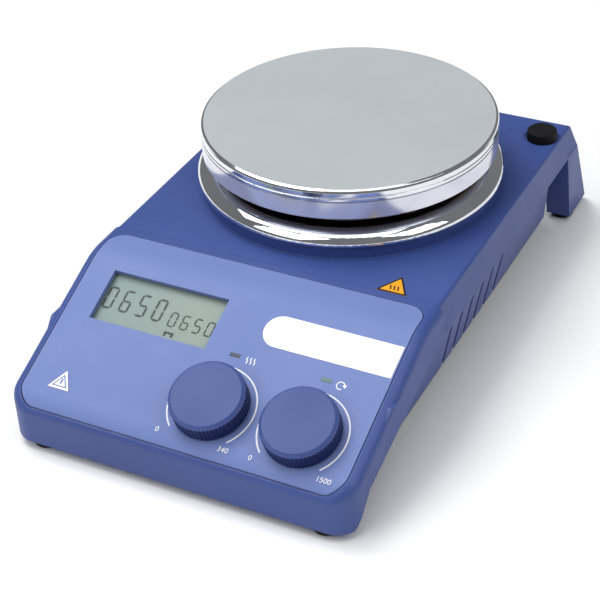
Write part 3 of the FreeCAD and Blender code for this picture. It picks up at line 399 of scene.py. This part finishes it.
LINES = (90.0, 1800.0, 1800.0)
FINISHES = {
    "housing_paint": housing_paint(),
    "panel_blue": panel_film(),
    "knob_blue": knob_plastic(),
    "window": window_pane(),
    "display_grey": display_glass(),
    "white_label": label("white_label", srgb(250, 250, 251), srgb(232, 233, 236)),
    "yellow_label": label("yellow_label", srgb(238, 166, 22), srgb(222, 148, 20)),
    "lamp": lamp_lens(),
    "plate_top": plate_coat(),
    "chrome": chrome(),
    "steel": metal("steel", srgb(196, 198, 201), 0.3, LINES).material,
    "zinc": metal("zinc", srgb(184, 187, 192), 0.34, (500.0, 500.0, 500.0), 4e-6,
                  stain=srgb(150, 148, 138)).material,
    "mica": fibre("mica", srgb(196, 182, 150), srgb(160, 142, 112)),
    "wool": fibre("wool", srgb(226, 222, 210), srgb(196, 190, 176)),
    "copper": metal("copper", srgb(190, 112, 66), 0.3, (1600.0, 1600.0, 200.0), 2e-5).material,
    "magnet": metal("magnet", srgb(98, 98, 104), 0.32).material,
    "alloy": metal("alloy", srgb(190, 192, 196), 0.36, (300.0, 300.0, 2200.0), 4e-6).material,
    "board": circuit_board(),
    "black_plastic": moulded("black_plastic", srgb(34, 34, 37), 0.42).material,
    "rubber": moulded("rubber", srgb(17, 16, 20), 0.72, 500.0, 0.00012, pale=1.8, shine=0.2).material,
    "silicone": moulded("silicone", srgb(150, 62, 46), 0.5).material,
    "brass": metal("brass", srgb(206, 172, 104), 0.28, (1500.0, 1500.0, 300.0)).material,
    "fuse_glass": glass(),
}

for obj in nodes.values():
    for place in obj.material_slots:
        place.material = FINISHES[place.material.name.split(".")[0]]


def ink(name, colour, rough=0.45):
    """Screen-printed ink with slightly uneven cover."""
    m = Nodes(name)
    thin = m.span(m.noise(900.0, 3.0), 0.35, 0.75, 0.0, 0.5)
    m.put("Base Color", m.mix(thin, colour, scaled(colour, 0.85)))
    m.put("Roughness", m.span(m.noise(400.0), 0.3, 0.7, rough - 0.05, rough + 0.1))
    m.put("Specular IOR Level", 0.15)
    m.bump(m.noise(2500.0, 2.0), 0.2, 0.00001)
    return m.material


WHITE_INK = ink("white_ink", srgb(246, 247, 252))
BLACK_INK = ink("black_ink", srgb(34, 34, 36))
SEGMENT_INK = ink("segment_ink", srgb(40, 52, 54), 0.5)
MARK_INK = ink("mark_blue", PANEL_BLUE)


# ---- thin printed shapes ---------------------------------------------------
PRINT_LOW, PRINT_HIGH = -0.02, 0.05   # a print is a thin closed slab across its surface, mm
ARC_R, ARC_W = 18.8, 0.62
ARC_START, ARC_END = 226.0, -46.0
NUMBER_SIZE = 3.3


def slabs(name, outlines, at, material, body=ROOT, low=PRINT_LOW, high=PRINT_HIGH):
    """One piece of thin closed slabs, each given by its outline in the surface's own millimetres.
    An outline with a second ring inside it is a frame."""
    mesh = bmesh.new()
    for outer, inner in outlines:
        rings = []
        for ring in (outer, inner) if inner else (outer,):
            rings.append(([mesh.verts.new(at(x, s, low)) for x, s in ring],
                          [mesh.verts.new(at(x, s, high)) for x, s in ring]))
        for bottom, top in rings:
            for i in range(len(bottom)):
                j = (i + 1) % len(bottom)
                mesh.faces.new((bottom[i], bottom[j], top[j], top[i]))
        if inner:
            for level in (0, 1):
                a, b = rings[0][level], rings[1][level]
                for i in range(len(a)):
                    j = (i + 1) % len(a)
                    mesh.faces.new((a[i], a[j], b[j], b[i]))
        else:
            mesh.faces.new(rings[0][0])
            mesh.faces.new(rings[0][1])
    bmesh.ops.recalc_face_normals(mesh, faces=mesh.faces)
    data = bpy.data.meshes.new(name)
    mesh.to_mesh(data)
    mesh.free()
    piece = bpy.data.objects.new(name, data)
    bpy.context.scene.collection.objects.link(piece)
    data.materials.append(material)
    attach(piece, body)


def stroke(points, width):
    """The outline of a line of constant width with square ends."""
    left, right = [], []
    for i, (x, y) in enumerate(points):
        ax, ay = points[max(0, i - 1)]
        bx, by = points[min(len(points) - 1, i + 1)]
        length = math.hypot(bx - ax, by - ay)
        nx, ny = -(by - ay) / length * width / 2, (bx - ax) / length * width / 2
        left.append((x + nx, y + ny))
        right.append((x - nx, y - ny))
    return left + right[::-1], None


def arc(cx, cy, r, start, end, steps=72):
    """Points along an arc; angles are in degrees from the right, turning upward."""
    angles = [math.radians(start + (end - start) * i / steps) for i in range(steps + 1)]
    return [(cx + r * math.cos(a), cy - r * math.sin(a)) for a in angles]


def polygon_frame(corners, width, radius):
    """A triangle's outline with rounded corners, as an outer and an inner ring."""
    cx = sum(x for x, _ in corners) / len(corners)
    cy = sum(y for _, y in corners) / len(corners)

    def rounded(shrink):
        ring = []
        pts = [(cx + (x - cx) * shrink, cy + (y - cy) * shrink) for x, y in corners]
        for i, p in enumerate(pts):
            a, b = Vector(pts[i - 1]), Vector(pts[(i + 1) % len(pts)])
            p = Vector(p)
            u, v = (a - p).normalized(), (b - p).normalized()
            start, end = p + u * radius, p + v * radius
            for t in (0.0, 0.25, 0.5, 0.75, 1.0):
                ring.append(tuple(start * (1 - t) ** 2 + p * 2 * t * (1 - t) + end * t ** 2))
        return ring

    points = [Vector(p) for p in corners]
    inradius = min(abs((b - a).cross(Vector((cx, cy)) - a)) / (b - a).length
                   for a, b in zip(points, points[1:] + points[:1]))
    return rounded(1.0), rounded(1 - width / inradius)


SEGMENTS = {"0": "abcdef", "6": "acdefg", "5": "acdfg"}


def digit(char, x, s, width, height, thick, gap):
    """The lit bars of a seven-segment figure. x, s is its upper left corner."""
    half, middle = thick / 2, height / 2

    def bar(x0, y0, x1, y1):
        dx, dy = (1, 0) if y0 == y1 else (0, 1)
        ax, ay, bx, by = x0 + dx * gap, y0 + dy * gap, x1 - dx * gap, y1 - dy * gap
        ring = [(ax, ay), (ax + dx * half + dy * half, ay + dy * half + dx * half),
                (bx - dx * half + dy * half, by - dy * half + dx * half), (bx, by),
                (bx - dx * half - dy * half, by - dy * half - dx * half),
                (ax + dx * half - dy * half, ay + dy * half - dx * half)]
        return [(x + px, s + py) for px, py in ring], None

    right, bottom = width - half, height - half
    bars = {"a": (half, half, right, half), "b": (right, half, right, middle),
            "c": (right, middle, right, bottom), "d": (half, bottom, right, bottom),
            "e": (half, middle, half, bottom), "f": (half, half, half, middle),
            "g": (half, middle, right, middle)}
    return [bar(*bars[k]) for k in SEGMENTS[char]]


def reading(text, left, pitch, top, **sizes):
    """A row of seven-segment figures."""
    bars = []
    for i, char in enumerate(text):
        bars += digit(char, left + pitch * i, top, **sizes)
    return bars


def number(name, text, x, s):
    """A printed number centred on x with its middle at s, laid on the panel."""
    curve = bpy.data.curves.new(name, "FONT")
    curve.body = text
    curve.size = NUMBER_SIZE * MM
    curve.align_x, curve.align_y = "CENTER", "CENTER"
    curve.extrude = (PRINT_HIGH - PRINT_LOW) / 2 * MM
    text_object = bpy.data.objects.new(name + "_curve", curve)
    bpy.context.scene.collection.objects.link(text_object)
    bpy.context.view_layer.update()
    evaluated = text_object.evaluated_get(bpy.context.evaluated_depsgraph_get())
    data = bpy.data.meshes.new_from_object(evaluated)
    bpy.data.objects.remove(text_object)
    turn = Matrix((Vector((1, 0, 0)), -PANEL_DOWN, PANEL_OUT)).transposed().to_4x4()
    data.transform(Matrix.Translation(panel(x, s, (PRINT_HIGH + PRINT_LOW) / 2)) @ turn)
    data.materials.clear()
    data.materials.append(WHITE_INK)
    data.name = name
    piece = bpy.data.objects.new(name, data)
    bpy.context.scene.collection.objects.link(piece)
    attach(piece, ROOT)


# ---- what is printed on the panel ------------------------------------------
for side, centre in (("heat", HEAT_CENTRE), ("stir", STIR_CENTRE)):
    dial = arc(centre.x / MM, KNOB_DOWN, ARC_R, ARC_START, ARC_END)
    slabs(side + "_dial_arc", [stroke(dial, ARC_W)], panel, WHITE_INK)

for name, text, x, s in (("heat_scale_low", "0", -8.4, 73.4), ("heat_scale_high", "340", 22.0, 74.0),
                         ("stir_scale_low", "0", 34.2, 73.9), ("stir_scale_high", "1500", 66.3, 74.2)):
    number(name, text, x, s)

# beside the lamps: three rising waves for heat, a turning arrow for stirring
LAMP_MARK_S, LAMP_MARK_STROKE = 33.2, 0.42
WAVE_X, WAVE_PITCH, WAVE_SWING, WAVE_HEIGHT, WAVE_STEPS = 14.0, 1.7, 0.32, 3.0, 16
TURN_X, TURN_R, TURN_START, TURN_END = 56.2, 1.7, 300, 20
ARROW_LENGTH, ARROW_HALF = 1.5, 0.95


def wave(x):
    """An upright wave of one period."""
    return [(x + WAVE_SWING * math.sin(2 * math.pi * t / WAVE_STEPS),
             LAMP_MARK_S + WAVE_HEIGHT * (0.5 - t / WAVE_STEPS)) for t in range(WAVE_STEPS + 1)]


def arrowhead(angle):
    """The point of the turning arrow, where its arc ends."""
    out_x, out_s = math.cos(angle), -math.sin(angle)
    x, s = TURN_X + TURN_R * out_x, LAMP_MARK_S + TURN_R * out_s
    return [(x - ARROW_LENGTH * out_s, s + ARROW_LENGTH * out_x),
            (x - ARROW_HALF * out_x, s - ARROW_HALF * out_s),
            (x + ARROW_HALF * out_x, s + ARROW_HALF * out_s)]


waves = [stroke(wave(WAVE_X + WAVE_PITCH * i), LAMP_MARK_STROKE) for i in range(3)]
slabs("heat_mark", waves, panel, WHITE_INK)
turn = stroke(arc(TURN_X, LAMP_MARK_S, TURN_R, TURN_END, TURN_START, 36), LAMP_MARK_STROKE)
slabs("stir_mark", [turn, (arrowhead(math.radians(TURN_END)), None)], panel, WHITE_INK)

# ---- the display -------------------------------------------------------------
FILM_LOW, FILM_HIGH = 0.05, 0.12               # above the module's face, mm
SEGMENT_LOW, SEGMENT_HIGH = 0.10, 0.16
MARK_LEFT, MARK_RIGHT, MARK_TOP, MARK_FOOT = -28.4, -23.8, 28.6, 30.8
MARK_BAR, MARK_LEG = 1.1, 1.2


def height_over_panel(point):
    return (Vector((0, point.y, point.z)) - BEND).dot(PANEL_OUT) / MM


face_h = max(height_over_panel(v.co) for v in nodes["display_module"].data.vertices)


def on_glass(x, s, h=0.0):
    return panel(x, s, face_h + h)


window = [v.co for v in nodes["display_window"].data.vertices]
window_x = [v.x / MM for v in window]
window_s = [(v - BEND).dot(PANEL_DOWN) / MM for v in window]
left, right, upper, lower = min(window_x), max(window_x), min(window_s), max(window_s)
film = [(left, upper), (right, upper), (right, lower), (left, lower)]
slabs("display_film", [(film, None)], on_glass, FINISHES["display_grey"],
      low=FILM_LOW, high=FILM_HIGH)

big = reading("0650", -62.0, 8.1, 14.2, width=4.9, height=11.3, thick=1.05, gap=0.12)
small = reading("0650", -29.2, 5.9, 18.8, width=3.8, height=7.4, thick=0.76, gap=0.09)
bracket = [(MARK_LEFT, MARK_TOP), (MARK_RIGHT, MARK_TOP), (MARK_RIGHT, MARK_FOOT),
           (MARK_RIGHT - MARK_LEG, MARK_FOOT), (MARK_RIGHT - MARK_LEG, MARK_TOP + MARK_BAR),
           (MARK_LEFT + MARK_LEG, MARK_TOP + MARK_BAR), (MARK_LEFT + MARK_LEG, MARK_FOOT),
           (MARK_LEFT, MARK_FOOT)]
for name, outlines in (("display_big_digits", big), ("display_small_digits", small),
                       ("display_mark", [(bracket, None)])):
    slabs(name, outlines, on_glass, SEGMENT_INK, low=SEGMENT_LOW, high=SEGMENT_HIGH)

# ---- the two triangular marks: plain bars in place of symbols -----------------
HOT_BORDER, HOT_CORNER = 0.75, 0.7
HOT_BAR_XS, HOT_BAR_W = (-1.7, 0.0, 1.7), 0.6
HOT_BAR_LEAN, HOT_BAR_FAR, HOT_BAR_NEAR = 0.5, -5.0, -2.0
CAUTION_APEX, CAUTION_FOOT, CAUTION_HALF = 61.9, 67.85, 3.6   # frame on the white triangle
CAUTION_BORDER, CAUTION_CORNER = 0.5, 0.4
CAUTION_BAR, CAUTION_BAR_W = (63.9, 66.6), 0.8
STICKER_T = 0.2

hot_low, hot_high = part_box("hot_surface_label")
hot = flat((hot_low.x + hot_high.x) / 2, hot_low.y, hot_high.z)
hot_w, hot_d = (hot_high.x - hot_low.x) / MM, (hot_high.y - hot_low.y) / MM
border = polygon_frame([(-hot_w / 2, 0), (hot_w / 2, 0), (0, -hot_d)], HOT_BORDER, HOT_CORNER)
bars = [stroke([(x - HOT_BAR_LEAN, HOT_BAR_FAR), (x + HOT_BAR_LEAN, HOT_BAR_NEAR)], HOT_BAR_W)
        for x in HOT_BAR_XS]
slabs("hot_mark_border", [border], hot, BLACK_INK)
slabs("hot_mark_bars", bars, hot, BLACK_INK)


def on_sticker(x, s, h=0.0):
    return panel(x, s, STICKER_T + h)


caution_low, caution_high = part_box("caution_label")
caution_x = (caution_low.x + caution_high.x) / 2 / MM
border = polygon_frame([(caution_x - CAUTION_HALF, CAUTION_FOOT), (caution_x + CAUTION_HALF, CAUTION_FOOT),
                        (caution_x, CAUTION_APEX)], CAUTION_BORDER, CAUTION_CORNER)
slabs("panel_mark_frame", [border], on_sticker, MARK_INK)
slabs("panel_mark_bar", [stroke([(caution_x, s) for s in CAUTION_BAR], CAUTION_BAR_W)], on_sticker,
      MARK_INK)

# ---- floor, light and camera ---------------------------------------------------
FLOOR_SIZE = 12.0
floor_data = bpy.data.meshes.new("floor")
corners = [(x * FLOOR_SIZE / 2, y * FLOOR_SIZE / 2, 0.0) for x, y in ((-1, -1), (1, -1), (1, 1), (-1, 1))]
floor_data.from_pydata(corners, [], [(0, 1, 2, 3)])
floor = bpy.data.objects.new("floor", floor_data)
bpy.context.scene.collection.objects.link(floor)
paper = Nodes("floor_paper")
paper.put("Base Color", paper.mix(paper.noise(3.0), (0.92, 0.92, 0.92, 1), (0.95, 0.95, 0.95, 1)))
paper.put("Roughness", 0.9)
floor_data.materials.append(paper.material)

TARGET = Vector((13.41, -47.91, 40.0)) * MM
AZIMUTH, PITCH, ROLL = math.radians(28.287), math.radians(35.191), math.radians(2.963)
DISTANCE, LENS, SENSOR = 0.70418, 98.3, 36.0
ahead = Vector((-math.sin(AZIMUTH) * math.cos(PITCH), math.cos(AZIMUTH) * math.cos(PITCH), -math.sin(PITCH)))
across = Vector((math.cos(AZIMUTH), math.sin(AZIMUTH), 0))
down = ahead.cross(across)
right = across * math.cos(ROLL) + down * math.sin(ROLL)
up = across * math.sin(ROLL) - down * math.cos(ROLL)
camera_data = bpy.data.cameras.new("camera")
camera_data.lens, camera_data.sensor_width = LENS, SENSOR
camera_data.clip_start, camera_data.clip_end = 0.01, 50.0
camera = bpy.data.objects.new("camera", camera_data)
turned = Matrix((right, up, -ahead)).transposed().to_4x4()
camera.matrix_world = Matrix.Translation(TARGET - ahead * DISTANCE) @ turned
bpy.context.scene.collection.objects.link(camera)
bpy.context.scene.camera = camera


LIGHT_AIM = Vector((0, 0, 0.05))


def softbox(name, azimuth, height, distance, size, power):
    """A rectangular soft light. azimuth is in degrees round from the front, towards the right."""
    data = bpy.data.lights.new(name, "AREA")
    data.shape, data.size, data.size_y = "RECTANGLE", size[0], size[1]
    data.energy = power
    light = bpy.data.objects.new(name, data)
    a, e = math.radians(azimuth), math.radians(height)
    away = Vector((math.sin(a) * math.cos(e), -math.cos(a) * math.cos(e), math.sin(e)))
    light.location = LIGHT_AIM + distance * away
    light.rotation_euler = (-away).to_track_quat("-Z", "Y").to_euler()
    bpy.context.scene.collection.objects.link(light)


softbox("key", azimuth=-100, height=63, distance=1.6, size=(0.9, 0.9), power=14.5)
softbox("top", azimuth=20, height=86, distance=1.7, size=(1.2, 1.0), power=6.5)
softbox("front_left", azimuth=-30, height=44, distance=1.5, size=(1.0, 1.1), power=9)
softbox("front_right", azimuth=84, height=44, distance=1.5, size=(0.8, 1.0), power=6)

world = bpy.data.worlds.new("studio")
bpy.context.scene.world = world
world.use_nodes = True
sky = world.node_tree.nodes["Background"]
sky.inputs["Color"].default_value = (0.97, 0.98, 1.0, 1)
sky.inputs["Strength"].default_value = 0.2
bpy.context.scene.view_settings.view_transform = "Standard"
